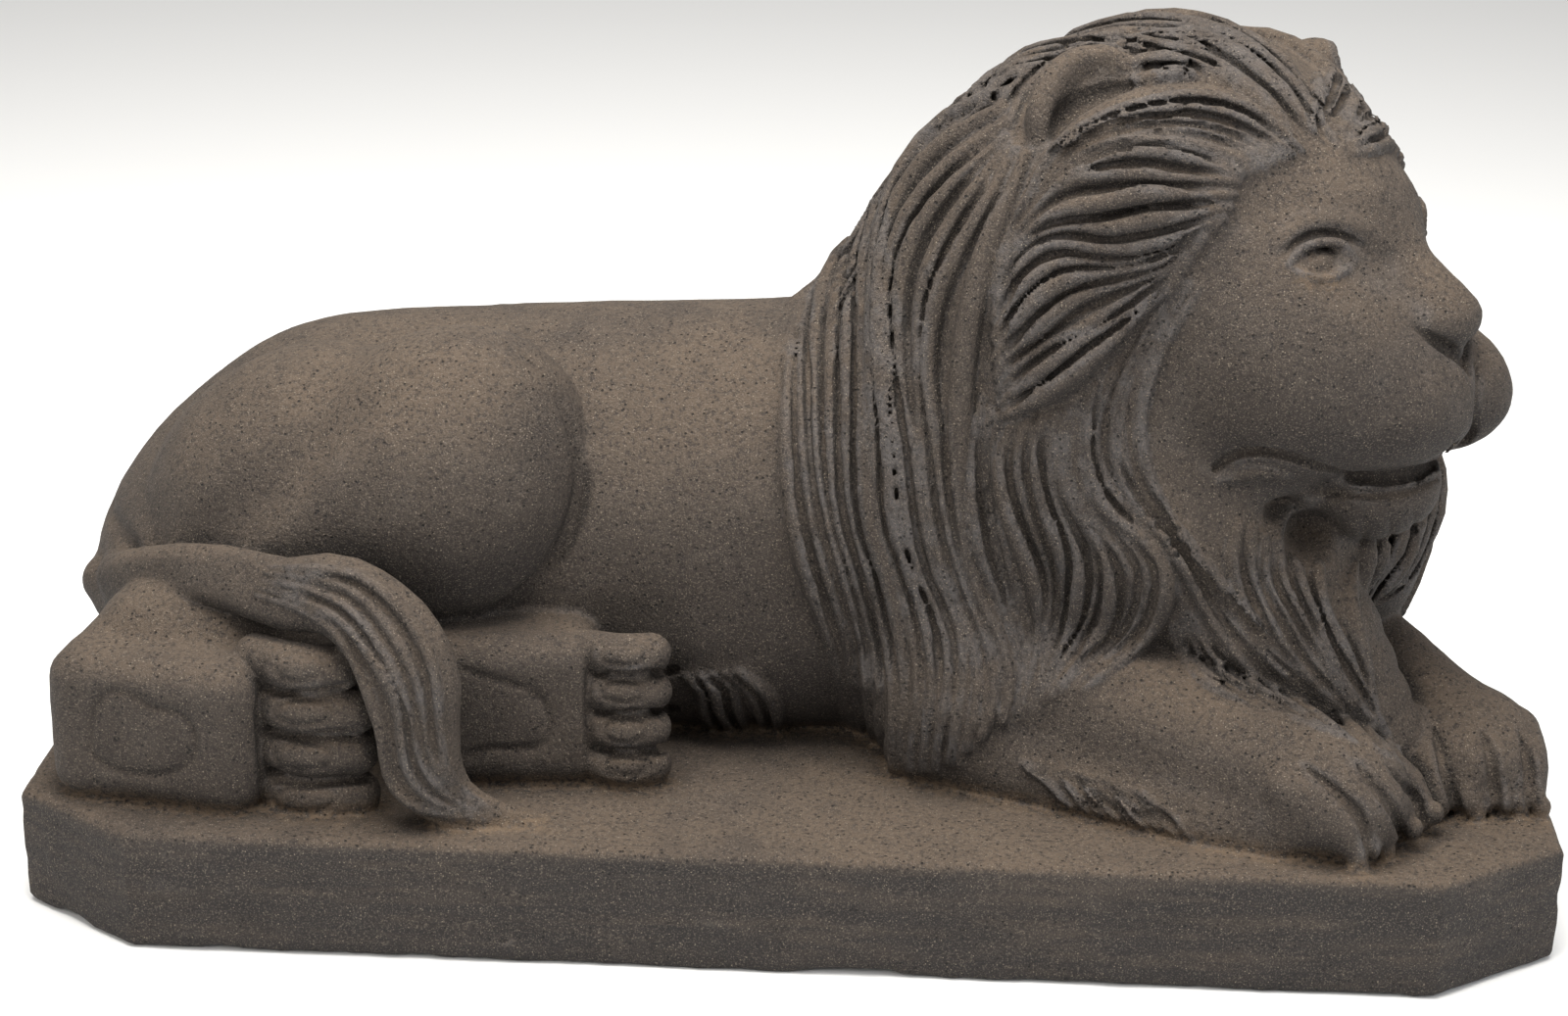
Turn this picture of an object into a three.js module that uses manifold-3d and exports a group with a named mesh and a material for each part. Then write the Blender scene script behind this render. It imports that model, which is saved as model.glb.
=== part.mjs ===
// A lion lying on its plinth, cast in one piece, with its head turned over its right shoulder.
// Millimetres. +X is ahead of the lion, +Y is its left, +Z is up, and the plinth stands on z = 0.
import * as THREE from "three";
import { mergeVertices } from "three/addons/utils/BufferGeometryUtils.js";
import { RoundedBoxGeometry } from "three/addons/geometries/RoundedBoxGeometry.js";
import Module from "manifold-3d";

// Plinth
const PLINTH_LENGTH = 1400;
const PLINTH_WIDTH = 580;
const PLINTH_HEIGHT = 115;
const PLINTH_ARRIS = 8;
const NEAR_CORNER = [117, 82];
const FAR_CORNER = [150, 175];

// Head: the point between the ears that the face is measured from, and how far it is turned
const HEAD_POINT = [405, 40, 585];
const HEAD_TURN = -35;

// Mane: the point that the locks spread from
const MANE_POINT = new THREE.Vector3(275, 60, 480);
const LOCK_RADIUS = 17;
const LOCK_SIDES = 4;
const LOCK_STEPS = 5;
const FAR_SPREAD = 1.5;

// Toes
const TOES = 4;
const NEAR_SOLE_STEP = 43;
const SECOND_SOLE_STEP = 37;

// Edges shorter than this, where two forms meet, are drawn together
const SHORT_EDGE = 7;
const MOST_BEND = 0.6;

// How often and how far the creases of the flesh are eased
const EASINGS = 5;
const EASE_IN = 0.5;
const EASE_OUT = -0.52;

const STONE = 0x4a4139;

const wasm = await Module();
wasm.setup();

const radians = THREE.MathUtils.degToRad;

// A closed geometry as a solid
function solid(geometry) {
  geometry.deleteAttribute("normal");
  geometry.deleteAttribute("uv");
  const merged = mergeVertices(geometry, 1e-3);
  const corners = merged.index.array;
  const kept = [];
  for (let i = 0; i < corners.length; i += 3) {
    const [a, b, c] = [corners[i], corners[i + 1], corners[i + 2]];
    if (a !== b && b !== c && c !== a) kept.push(a, b, c);
  }
  const mesh = new wasm.Mesh({
    numProp: 3,
    vertProperties: merged.attributes.position.array,
    triVerts: new Uint32Array(kept),
  });
  return new wasm.Manifold(mesh);
}

function turned(turn) {
  const [x, y, z] = turn.map(radians);
  return new THREE.Matrix4().makeRotationFromEuler(new THREE.Euler(x, y, z, "ZYX"));
}

// A muscle or a lobe: an egg-shaped mass
function mass(centre, radii, turn = [0, 0, 0], around = 18, down = 10) {
  const egg = new THREE.SphereGeometry(1, around, down);
  egg.rotateX(Math.PI / 2);
  egg.scale(...radii);
  egg.applyMatrix4(turned(turn));
  egg.translate(...centre);
  return solid(egg);
}

// A sole: a block with soft edges
function sole(centre, size, softness, turn) {
  const block = new RoundedBoxGeometry(...size, 2, softness);
  block.applyMatrix4(turned(turn));
  block.translate(...centre);
  return solid(block);
}

function along(values, t) {
  const place = t * (values.length - 1);
  const from = Math.min(Math.floor(place), values.length - 2);
  return THREE.MathUtils.lerp(values[from], values[from + 1], place - from);
}

// A limb, the tail or a lock: a round bar along a smooth line, with its own thickness all along
function limb(points, radii, steps, sides) {
  const line = new THREE.CatmullRomCurve3(points.map((p) => new THREE.Vector3(...p)));
  const bar = new THREE.TubeGeometry(line, steps, 1, sides);
  const place = bar.attributes.position;
  const corner = new THREE.Vector3();
  for (let i = 0; i <= steps; i++) {
    const centre = line.getPointAt(i / steps);
    const radius = i === 0 || i === steps ? 0 : along(radii, i / steps);
    for (let j = 0; j <= sides; j++) {
      const k = i * (sides + 1) + j;
      corner.fromBufferAttribute(place, k).sub(centre).multiplyScalar(radius).add(centre);
      place.setXYZ(k, corner.x, corner.y, corner.z);
    }
  }
  return solid(bar);
}

// A point of the head, from its own ahead, left and up
const headFrame = turned([0, 0, HEAD_TURN]).setPosition(...HEAD_POINT);
function onHead(ahead, left, up) {
  return new THREE.Vector3(ahead, left, up).applyMatrix4(headFrame).toArray();
}

const join = (solids) => solids.reduce((whole, each) => whole.add(each));

// Plinth, a slab with its corners cut
function plinth() {
  const [x, y] = [PLINTH_LENGTH / 2, PLINTH_WIDTH / 2];
  const [nx, ny] = NEAR_CORNER;
  const [fx, fy] = FAR_CORNER;
  const edge = [
    [-x, ny - y],
    [nx - x, -y],
    [x - nx, -y],
    [x, ny - y],
    [x, y - fy],
    [x - fx, y],
    [fx - x, y],
    [-x, y - fy],
  ];
  const outline = new THREE.Shape(edge.map((p) => new THREE.Vector2(...p)));
  const slab = new THREE.ExtrudeGeometry(outline, {
    depth: PLINTH_HEIGHT - 2 * PLINTH_ARRIS,
    bevelSize: PLINTH_ARRIS,
    bevelOffset: -PLINTH_ARRIS,
    bevelThickness: PLINTH_ARRIS,
    bevelSegments: 1,
  });
  slab.translate(0, 0, PLINTH_ARRIS);
  return solid(slab);
}

// Trunk and haunch
function body() {
  const spine = [
    [-520, 88, 285],
    [-430, 88, 295],
    [-250, 90, 310],
    [-50, 90, 318],
    [120, 88, 330],
    [240, 80, 340],
  ];
  return [
    limb(spine, [90, 168, 187, 188, 188, 180], 9, 18),
    mass([-70, 80, 215], [330, 165, 125]),
    mass([-385, 84, 185], [288, 192, 290]),
    mass([-480, 60, 225], [207, 190, 192]),
  ];
}

// The raised thigh, in two muscles with a crease between them
function thigh() {
  return [
    mass([-460, 10, 318], [182, 122, 142], [0, -22, 0]),
    mass([-362, -32, 346], [188, 107, 114], [0, -32, 0]),
  ];
}

// The two hind soles, which face the viewer, with their toes one above the other
function hindFeet() {
  const parts = [
    mass([-565, -120, 225], [74, 70, 74]),
    mass([-480, -110, 235], [110, 80, 60]),
    sole([-550, -175, 185], [216, 116, 144], 42, [0, 0, -10]),
    sole([-240, -95, 185], [210, 112, 144], 38, [0, 0, 6]),
  ];
  for (let i = 0; i < TOES; i++) {
    parts.push(mass([-436, -208, 132 + NEAR_SOLE_STEP * i], [66, 27, 24], [0, 0, -3], 8, 5));
    parts.push(mass([-155, -126, 134 + SECOND_SOLE_STEP * i], [50, 25, 21], [0, 0, 0], 8, 5));
  }
  return parts;
}

// The tail, which comes round the rump, over the near foot and down to the plinth
function tail() {
  const line = [
    [-560, 130, 240],
    [-635, 30, 222],
    [-628, -50, 240],
    [-580, -115, 272],
    [-500, -168, 300],
    [-425, -205, 300],
    [-372, -226, 268],
    [-340, -238, 210],
    [-318, -240, 155],
    [-285, -236, 122],
    [-225, -232, 104],
  ];
  return [limb(line, [60, 50, 42, 34, 30, 33, 42, 45, 40, 26, 8], 18, 8)];
}

// The forelegs, both laid over to the viewer's side
function forelegs() {
  const near = [
    [170, -10, 200],
    [230, -60, 190],
    [350, -130, 182],
    [440, -178, 168],
    [505, -208, 156],
    [540, -222, 145],
  ];
  const far = [
    [400, 120, 240],
    [470, 90, 222],
    [545, 40, 197],
    [605, -45, 168],
    [622, -90, 150],
  ];
  return [
    limb(near, [86, 86, 69, 59, 58, 40], 9, 14),
    limb(far, [62, 65, 52, 56, 40], 8, 14),
    mass([484, -202, 160], [77, 61, 53], [0, 0, -28], 14, 8),
    mass([624, -75, 158], [65, 79, 50], [0, 0, 10], 14, 8),
    mass([250, 20, 190], [150, 110, 90]),
  ];
}

function toes() {
  const parts = [];
  for (let i = 0; i < TOES; i++) {
    const t = i / (TOES - 1);
    parts.push(mass([490 + 62 * t, -250 + 78 * t, 152], [56, 24, 24], [0, 30, -25], 8, 6));
    parts.push(mass([588 + 84 * t, -122 + 14 * t, 150], [54, 21, 23], [0, 30, -86], 8, 6));
  }
  return parts;
}

// The masses that carry the hair, each as its centre, its radii and its turn
const crown = [onHead(-80, 0, 58), [168, 200, 142], [0, 10, HEAD_TURN]];
const skull = [onHead(-10, 0, 5), [152, 162, 162], [0, 0, HEAD_TURN]];
const cheeks = [-1, 1].map((side) => [
  onHead(75, side * 96, -62),
  [114, 78, 114],
  [0, 0, HEAD_TURN],
]);
const maneMasses = [
  [[180, 70, 270], [192, 198, 267], [0, 0, 0]],
  [[255, 66, 462], [230, 204, 302], [0, 0, 0]],
  [[355, 50, 350], [197, 202, 202], [0, 0, 0]],
  [[110, 80, 400], [134, 186, 192], [0, 0, 0]],
  [[455, 90, 322], [158, 135, 190], [0, 0, 0]],
  crown,
];

// How far the hair lies from the mane's point, looking out along one direction
function reach(direction) {
  let far = 0;
  for (const [centre, radii, turn] of [...maneMasses, skull, ...cheeks]) {
    const back = turned(turn).transpose();
    const shrink = new THREE.Vector3(...radii);
    const from = MANE_POINT.clone().sub(new THREE.Vector3(...centre));
    from.applyMatrix4(back).divide(shrink);
    const step = direction.clone().applyMatrix4(back).divide(shrink);
    const [a, b, c] = [step.dot(step), from.dot(step), from.dot(from) - 1];
    const root = b * b - a * c;
    if (root > 0) far = Math.max(far, (Math.sqrt(root) - b) / a);
  }
  return far;
}

// A direction from the mane's point: degrees round from the face, and degrees up
function aim([round, up], side) {
  const wide = side > 0 && Math.abs(round) > 20 && Math.abs(round) < 180;
  const away = Math.abs(round);
  const swing = side < 0 ? round : wide ? 20 + (away - 20) * FAR_SPREAD : away;
  const a = radians(swing + HEAD_TURN);
  const e = radians(up);
  return new THREE.Vector3(Math.cos(a) * Math.cos(e), Math.sin(a) * Math.cos(e), Math.sin(e));
}

// Guide lines that the locks lie between, each from root to tip
const GUIDES = {
  templeTop: [[-21, 45], [-39, 53], [-61, 55], [-78, 48], [-84, 33], [-84, 18]],
  templeLow: [[-36, 27], [-44, 22], [-54, 13], [-64, 4], [-72, -1], [-80, -4]],
  longFront: [[-80, 44], [-87, 22], [-93, 0], [-90, -26], [-84, -46], [-91, -62]],
  longRear: [[-118, 64], [-136, 44], [-136, 20], [-126, -5], [-117, -28], [-112, -48], [-112, -58]],
  lowerRear: [[-80, 4], [-84, -20], [-76, -40], [-70, -50], [-86, -62]],
  lowerFront: [[-47, 19], [-53, -4], [-46, -24], [-42, -36], [-52, -49]],
  cheek: [[-36, 28], [-44, 12], [-44, -8], [-37, -23], [-25, -36], [-12, -47]],
  crownSide: [[-15, 44], [-26, 57], [-49, 71], [-97, 72], [-118, 60]],
  crownTop: [[0, 46], [0, 64], [0, 84], [180, 72], [180, 58]],
  beardSide: [[-34, -20], [-28, -32], [-18, -42], [-8, -50]],
  beardMiddle: [[14, -26], [12, -36], [10, -44], [8, -52]],
};

// Each tier of hair: its two guides, the locks on the near and the far side, and how proud it lies
const TIERS = [
  ["longFront", "longRear", 6, 3, -7],
  ["lowerRear", "lowerFront", 5, 3, -6],
  ["lowerFront", "cheek", 2, 1, -6],
  ["templeTop", "templeLow", 6, 4, 2],
  ["crownSide", "crownTop", 4, 2, -8],
  ["beardSide", "beardMiddle", 3, 1, -7],
];

function tier([first, last, near, far, proud]) {
  const locks = [];
  for (const [side, count] of [[-1, near], [1, far]]) {
    const lines = [first, last].map(
      (name) => new THREE.CatmullRomCurve3(GUIDES[name].map((p) => aim(p, side))),
    );
    for (let i = 0; i < count; i++) {
      const share = (i + 0.5) / count;
      const points = [];
      for (let k = 0; k <= LOCK_STEPS; k++) {
        const [a, b] = lines.map((line) => line.getPoint(k / LOCK_STEPS));
        const direction = a.lerp(b, share).normalize();
        const distance = reach(direction) + proud;
        points.push(direction.multiplyScalar(distance).add(MANE_POINT).toArray());
      }
      const thick = [0.6, 1, 1, 0.95, 0.6].map((part) => part * LOCK_RADIUS);
      locks.push(limb(points, thick, LOCK_STEPS, LOCK_SIDES));
    }
  }
  return locks;
}

// Mane, skull and face
function head() {
  const nose = [onHead(60, 0, 56), onHead(100, 0, 50), onHead(150, 0, 34), onHead(205, 0, -22)];
  const beard = [
    onHead(120, -20, -150),
    onHead(110, -20, -200),
    onHead(85, -10, -270),
    onHead(70, 10, -350),
    onHead(65, 12, -385),
  ];
  const parts = [
    ...maneMasses.map((each) => mass(...each)),
    ...cheeks.map((each) => mass(...each)),
    mass(...skull),
    mass(onHead(75, 0, 36), [88, 110, 78], [0, 0, HEAD_TURN]),
    limb(nose, [58, 58, 46, 36], 6, 12),
    mass(onHead(138, 0, -165), [80, 84, 68], [0, 0, HEAD_TURN], 14, 8),
    limb(beard, [60, 70, 72, 46, 30], 7, 10),
  ];
  for (const side of [-1, 1]) {
    parts.push(mass(onHead(150, side * 50, -86), [88, 70, 70], [0, 0, HEAD_TURN], 14, 8));
    parts.push(mass(onHead(112, side * 80, -74), [102, 80, 92], [0, 0, HEAD_TURN], 14, 8));
  }
  return parts;
}

// Ears, brows, eyes and the end of the nose
function features() {
  const parts = [mass(onHead(208, 0, -20), [29, 44, 26], [0, 0, HEAD_TURN], 12, 8)];
  for (const side of [-1, 1]) {
    const drop = side < 0 ? 0 : -38;
    const tilt = [0, -25, HEAD_TURN + side * 24];
    const cup = mass(onHead(-88, side * 170, 150 + drop), [54, 32, 46], tilt, 12, 8);
    const hollow = mass(onHead(-66, side * 188, 160 + drop), [34, 20, 26], tilt, 8, 6);
    const brow = [onHead(158, side * 40, 52), onHead(140, side * 78, 68), onHead(104, side * 112, 56)];
    parts.push(cup.subtract(hollow));
    parts.push(limb(brow, [10, 16, 10], 5, 6));
    parts.push(mass(onHead(126, side * 86, 40), [24, 26, 16], [0, 0, HEAD_TURN], 8, 6));
  }
  return parts;
}

// The cuts of the face: the mouth on both sides, the middle of the lip and the nostrils
function faceCuts() {
  const cuts = [];
  for (const side of [-1, 1]) {
    const lips = [
      [244, 0, -114],
      [216, 52, -146],
      [176, 100, -158],
      [130, 138, -147],
      [84, 162, -132],
      [52, 172, -156],
    ];
    const line = lips.map(([ahead, left, up]) => onHead(ahead, side * left, up));
    cuts.push(limb(line, [8, 9, 10, 9, 8, 4], 10, 5));
    const nostril = [onHead(244, side * 8, -50), onHead(222, side * 36, -38), onHead(192, side * 54, -20)];
    cuts.push(limb(nostril, [7, 8, 6], 4, 5));
  }
  cuts.push(limb([onHead(238, 0, -40), onHead(244, 0, -80), onHead(236, 0, -122)], [6, 7, 7], 4, 5));
  return cuts;
}

// Draws the two corners of each short edge together, where the surface stays whole and doesn't fold
function drawTogether(corners, faces) {
  const around = corners.map(() => new Set());
  faces.forEach((face, i) => face.forEach((v) => around[v].add(i)));
  const ring = (v) => new Set([...around[v]].flatMap((i) => faces[i]).filter((w) => w !== v));
  const facing = ([a, b, c]) => b.clone().sub(a).cross(c.clone().sub(a));

  function folds(kept, gone, middle) {
    for (const i of new Set([...around[kept], ...around[gone]])) {
      const face = faces[i];
      if (face.includes(kept) && face.includes(gone)) continue;
      const before = facing(face.map((v) => corners[v]));
      const after = facing(face.map((v) => (v === kept || v === gone ? middle : corners[v])));
      if (after.length() < 1) return true;
      if (before.length() > 1 && before.angleTo(after) > MOST_BEND) return true;
    }
    return false;
  }

  function draw(kept, gone) {
    const far = ring(gone);
    const shared = [...ring(kept)].filter((v) => far.has(v));
    const middle = corners[kept].clone().lerp(corners[gone], 0.5);
    if (Math.min(corners[kept].z, corners[gone].z) < PLINTH_ARRIS + 1) return false;
    if (shared.length !== 2 || folds(kept, gone, middle)) return false;
    corners[kept].copy(middle);
    for (const i of [...around[gone]]) {
      const face = faces[i];
      if (face.includes(kept)) {
        face.forEach((v) => around[v].delete(i));
        faces[i] = null;
      } else {
        face[face.indexOf(gone)] = kept;
        around[kept].add(i);
      }
    }
    around[gone].clear();
    return true;
  }

  let drawn = 1;
  while (drawn > 0) {
    drawn = 0;
    for (let i = 0; i < faces.length; i++) {
      for (let k = 0; k < 3 && faces[i]; k++) {
        const [a, b] = [faces[i][k], faces[i][(k + 1) % 3]];
        if (corners[a].distanceTo(corners[b]) < SHORT_EDGE && draw(a, b)) drawn += 1;
      }
    }
  }
  return faces.filter((face) => face);
}

// The corners and the faces of a solid
function shell(whole) {
  const mesh = whole.getMesh();
  const corners = [];
  for (let i = 0; i < mesh.vertProperties.length; i += 3) {
    corners.push(new THREE.Vector3().fromArray(mesh.vertProperties, i));
  }
  const faces = [];
  for (let i = 0; i < mesh.triVerts.length; i += 3) faces.push([...mesh.triVerts.slice(i, i + 3)]);
  return [corners, drawTogether(corners, faces)];
}

function surfaceOf(corners, faces) {
  const surface = new THREE.BufferGeometry().setFromPoints(corners);
  surface.setIndex(faces.flat());
  return surface;
}

// Flesh runs over from one muscle to the next, so its creases are eased
function eased(whole) {
  const [corners, faces] = shell(whole);
  const beside = corners.map(() => new Set());
  for (const face of faces) {
    for (const v of face) face.forEach((w) => w !== v && beside[v].add(w));
  }
  for (let i = 0; i < 2 * EASINGS; i++) {
    const middles = beside.map((ring) => {
      const middle = new THREE.Vector3();
      ring.forEach((w) => middle.addScaledVector(corners[w], 1 / ring.size));
      return middle;
    });
    const far = i % 2 === 0 ? EASE_IN : EASE_OUT;
    corners.forEach((corner, v) => beside[v].size > 0 && corner.lerp(middles[v], far));
  }
  return solid(surfaceOf(corners, faces));
}

const biggest = (whole) =>
  whole.decompose().reduce((most, each) => (each.volume() > most.volume() ? each : most));

// The level bed that the plinth stands on
function bed() {
  const block = new THREE.BoxGeometry(2 * PLINTH_LENGTH, 2 * PLINTH_LENGTH, PLINTH_LENGTH);
  return solid(block.translate(0, 0, -PLINTH_LENGTH / 2));
}

function lion() {
  const flesh = eased(biggest(join([...body(), ...forelegs(), ...head()])));
  const parts = [flesh, plinth(), ...thigh(), ...hindFeet(), ...tail(), ...toes(), ...features()];
  TIERS.forEach((each) => parts.push(...tier(each)));
  return biggest([...faceCuts(), bed()].reduce((rest, cut) => rest.subtract(cut), join(parts)));
}

const stone = new THREE.MeshStandardMaterial({ color: STONE, roughness: 0.9, metalness: 0 });
const surface = surfaceOf(...shell(lion()));
surface.computeVertexNormals();
const statue = new THREE.Mesh(surface, stone);
statue.name = "lion_on_plinth";

const group = new THREE.Group();
group.name = "lion_statue";
group.add(statue);

export default group;
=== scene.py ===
"""A reclining stone lion on its plinth: carved surface, weathered stone, and a studio to see it in."""
import math

import bpy
import numpy as np
from mathutils import Matrix


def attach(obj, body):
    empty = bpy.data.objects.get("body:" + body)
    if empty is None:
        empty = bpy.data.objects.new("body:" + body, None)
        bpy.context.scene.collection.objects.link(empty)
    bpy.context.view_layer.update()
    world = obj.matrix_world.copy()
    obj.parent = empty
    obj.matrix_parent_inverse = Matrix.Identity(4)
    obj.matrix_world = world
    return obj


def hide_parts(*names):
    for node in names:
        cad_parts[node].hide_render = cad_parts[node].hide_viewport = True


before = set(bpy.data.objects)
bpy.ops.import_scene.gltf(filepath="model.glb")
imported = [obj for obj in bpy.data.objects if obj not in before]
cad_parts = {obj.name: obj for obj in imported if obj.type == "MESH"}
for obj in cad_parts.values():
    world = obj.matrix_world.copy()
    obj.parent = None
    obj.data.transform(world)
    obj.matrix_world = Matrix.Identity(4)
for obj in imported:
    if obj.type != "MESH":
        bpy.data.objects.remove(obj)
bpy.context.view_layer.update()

# Sizes are in millimetres until the mesh is made
CELL = 2.7
TRIANGLES = 192000
SEED = 7
ADD_REACH = 40.0
CUT_REACH = 26.0
GRID_LOW = (-712.0, -302.0, -12.8)
GRID_HIGH = (712.0, 302.0, 812.0)

PLINTH_LENGTH = 1400.0
PLINTH_WIDTH = 580.0
PLINTH_HEIGHT = 115.0
PLINTH_ARRIS = 9.0
NEAR_CORNER = (117.0, 82.0)
FAR_CORNER = (150.0, 175.0)

HEAD_POINT = np.array([405.0, 40.0, 585.0])
HEAD_TURN = -35.0
MANE_POINT = np.array([275.0, 60.0, 480.0])
FAR_SPREAD = 1.5
TOES = 4

# The photo's camera
PHOTO = (1600.0, 1037.0)
FOCAL = 3300.0
CAMERA_TARGET = np.array([-15.94, 30.0, 323.49])
CAMERA_DISTANCE = 3075.17
CAMERA_ROUND = 3.0
CAMERA_UP = 21.0
CAMERA_ROLL = 0.8


def camera_axes():
    """The camera's place, its right, its up and the way it looks."""
    a, e, roll = (math.radians(v) for v in (CAMERA_ROUND, CAMERA_UP, CAMERA_ROLL))
    back = np.array([math.sin(a) * math.cos(e), -math.cos(a) * math.cos(e), math.sin(e)])
    right = np.cross(-back, (0.0, 0.0, 1.0))
    right /= np.linalg.norm(right)
    up = np.cross(right, -back)
    tilted = math.cos(roll) * right + math.sin(roll) * up
    return CAMERA_TARGET + back * CAMERA_DISTANCE, tilted, np.cross(tilted, -back), -back


EYE, RIGHT, UP, AHEAD = camera_axes()


# Forms, each a function that gives the distance from its surface

def turn_matrix(turn):
    x, y, z = (math.radians(a) for a in turn)
    rx = np.array([[1, 0, 0], [0, math.cos(x), -math.sin(x)], [0, math.sin(x), math.cos(x)]])
    ry = np.array([[math.cos(y), 0, math.sin(y)], [0, 1, 0], [-math.sin(y), 0, math.cos(y)]])
    rz = np.array([[math.cos(z), -math.sin(z), 0], [math.sin(z), math.cos(z), 0], [0, 0, 1]])
    return rz @ ry @ rx


def smooth_min(a, b, soft):
    low = np.minimum(a, b)
    if soft <= 0:
        return low
    near = np.clip(soft - np.abs(a - b), 0, None) / soft
    return low - near * near * soft * 0.25


def spline(points, count):
    """Points along a smooth line through the given ones."""
    p = np.array(points, float)
    p = np.vstack([2 * p[0] - p[1], p, 2 * p[-1] - p[-2]])
    out = []
    for u in np.linspace(0, len(p) - 3, count):
        i = min(int(u), len(p) - 4)
        t = u - i
        a, b, c, d = p[i:i + 4]
        out.append(0.5 * (2 * b + (c - a) * t + (2 * a - 5 * b + 4 * c - d) * t ** 2
                          + (3 * b - a - 3 * c + d) * t ** 3))
    return np.array(out)


class Mass:
    """A muscle or a lobe: an egg-shaped mass."""

    def __init__(self, centre, radii, turn=(0, 0, 0)):
        self.centre = np.array(centre, float)
        self.radii = np.array(radii, float)
        self.axes = turn_matrix(turn)
        half = np.sqrt(((self.axes * self.radii) ** 2).sum(1))
        self.low, self.high = self.centre - half, self.centre + half

    def __call__(self, p):
        q = ((p - self.centre) @ self.axes) / self.radii
        k = np.sqrt((q * q).sum(1)) + 1e-6
        return k * (k - 1) / (np.sqrt(((q / self.radii) ** 2).sum(1)) + 1e-9)


class Sole:
    """A block with soft edges."""

    def __init__(self, centre, half, softness, turn=(0, 0, 0)):
        self.centre = np.array(centre, float)
        self.half = np.array(half, float) - softness
        self.softness = softness
        self.axes = turn_matrix(turn)
        reach = np.abs(self.axes) @ np.array(half, float)
        self.low, self.high = self.centre - reach, self.centre + reach

    def __call__(self, p):
        q = np.abs((p - self.centre) @ self.axes) - self.half
        return np.sqrt((np.maximum(q, 0) ** 2).sum(1)) + np.minimum(q.max(1), 0) - self.softness


class Limb:
    """A round bar along a smooth line, with its own thickness all along."""

    def __init__(self, points, radii, count=12):
        self.line = spline(points, count)
        places = np.linspace(0, 1, len(radii))
        self.thick = np.interp(np.linspace(0, 1, count), places, radii)
        self.low = (self.line - self.thick[:, None]).min(0)
        self.high = (self.line + self.thick[:, None]).max(0)

    def __call__(self, p):
        best = np.full(len(p), 1e9)
        for i in range(len(self.line) - 1):
            best = np.minimum(best, bar(p, self.line[i], self.line[i + 1], self.thick[i],
                                        self.thick[i + 1]))
        return best


def bar(p, a, b, thick_a, thick_b):
    along = b - a
    t = np.clip((p - a) @ along / (along @ along + 1e-9), 0, 1)
    away = p - a - t[:, None] * along
    return np.sqrt((away * away).sum(1)) - (thick_a + (thick_b - thick_a) * t)


class Plinth:
    """A slab with its corners cut."""

    def __init__(self):
        self.low = np.array([-PLINTH_LENGTH / 2, -PLINTH_WIDTH / 2, 0.0])
        self.high = np.array([PLINTH_LENGTH / 2, PLINTH_WIDTH / 2, PLINTH_HEIGHT])

    def __call__(self, p):
        x, y = np.abs(p[:, 0]), p[:, 1]
        d = np.maximum(x - self.high[0], np.abs(y) - self.high[1])
        for (cx, cy), side in ((NEAR_CORNER, -1), (FAR_CORNER, 1)):
            cut = (x - (self.high[0] - cx)) * cy + (side * y - self.high[1]) * cx
            d = np.maximum(d, cut / math.hypot(cx, cy))
        q = np.array([d, np.abs(p[:, 2] - PLINTH_HEIGHT / 2) - PLINTH_HEIGHT / 2]) + PLINTH_ARRIS
        return np.minimum(q.max(0), 0) + np.sqrt((np.maximum(q, 0) ** 2).sum(0)) - PLINTH_ARRIS


class Hair:
    """Many thin bars, taken together."""

    def __init__(self, limbs):
        self.bars = []
        for limb in limbs:
            for i in range(len(limb.line) - 1):
                self.bars.append((limb.line[i], limb.line[i + 1], limb.thick[i], limb.thick[i + 1]))
        self.low = np.min([limb.low for limb in limbs], 0)
        self.high = np.max([limb.high for limb in limbs], 0)

    def __call__(self, p):
        best = np.full(len(p), 60.0)
        for a, b, thick_a, thick_b in self.bars:
            room = max(thick_a, thick_b) + 10.0
            low, high = np.minimum(a, b) - room, np.maximum(a, b) + room
            first, last = np.searchsorted(p[:, 0], (low[0], high[0]))
            q = p[first:last]
            inside = (q[:, 1] > low[1]) & (q[:, 1] < high[1]) & (q[:, 2] > low[2]) & (q[:, 2] < high[2])
            at = first + np.nonzero(inside)[0]
            if len(at):
                best[at] = np.minimum(best[at], bar(p[at], a, b, thick_a, thick_b))
        return best


class Group:
    """Forms that run softly into each other."""

    def __init__(self, forms, soft):
        self.forms = forms
        self.soft = soft
        self.low = np.min([form.low for form in forms], 0)
        self.high = np.max([form.high for form in forms], 0)

    def __call__(self, p):
        d = self.forms[0](p)
        for form in self.forms[1:]:
            d = smooth_min(d, form(p), self.soft)
        return d


def sculpt(p, steps):
    """Distance from the sculpture's surface at points in the order of their x."""
    d = np.full(len(p), 500.0)
    for kind, form, soft in steps:
        room = (CUT_REACH if kind == "cut" else ADD_REACH) + soft
        low, high = form.low - room, form.high + room
        first, last = np.searchsorted(p[:, 0], (low[0], high[0]))
        q = p[first:last]
        inside = (q[:, 1] > low[1]) & (q[:, 1] < high[1]) & (q[:, 2] > low[2]) & (q[:, 2] < high[2])
        at = first + np.nonzero(inside)[0]
        if not len(at):
            continue
        near = form(p[at])
        d[at] = -smooth_min(-d[at], near, soft) if kind == "cut" else smooth_min(d[at], near, soft)
    return np.maximum(d, -p[:, 2])


def distance(p, steps):
    order = np.argsort(p[:, 0], kind="stable")
    d = np.empty(len(p))
    d[order] = sculpt(p[order], steps)
    return d


def slope(p, steps, step=1.5):
    """The way out of the surface at each point."""
    out = np.zeros_like(p)
    for k in range(3):
        move = np.zeros(3)
        move[k] = step
        out[:, k] = distance(p + move, steps) - distance(p - move, steps)
    return out / (np.linalg.norm(out, axis=1)[:, None] + 1e-9)


def settled(p, steps, rounds=2):
    """The points moved onto the surface."""
    for _ in range(rounds):
        p = p - slope(p, steps) * distance(p, steps)[:, None]
    return p


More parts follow.
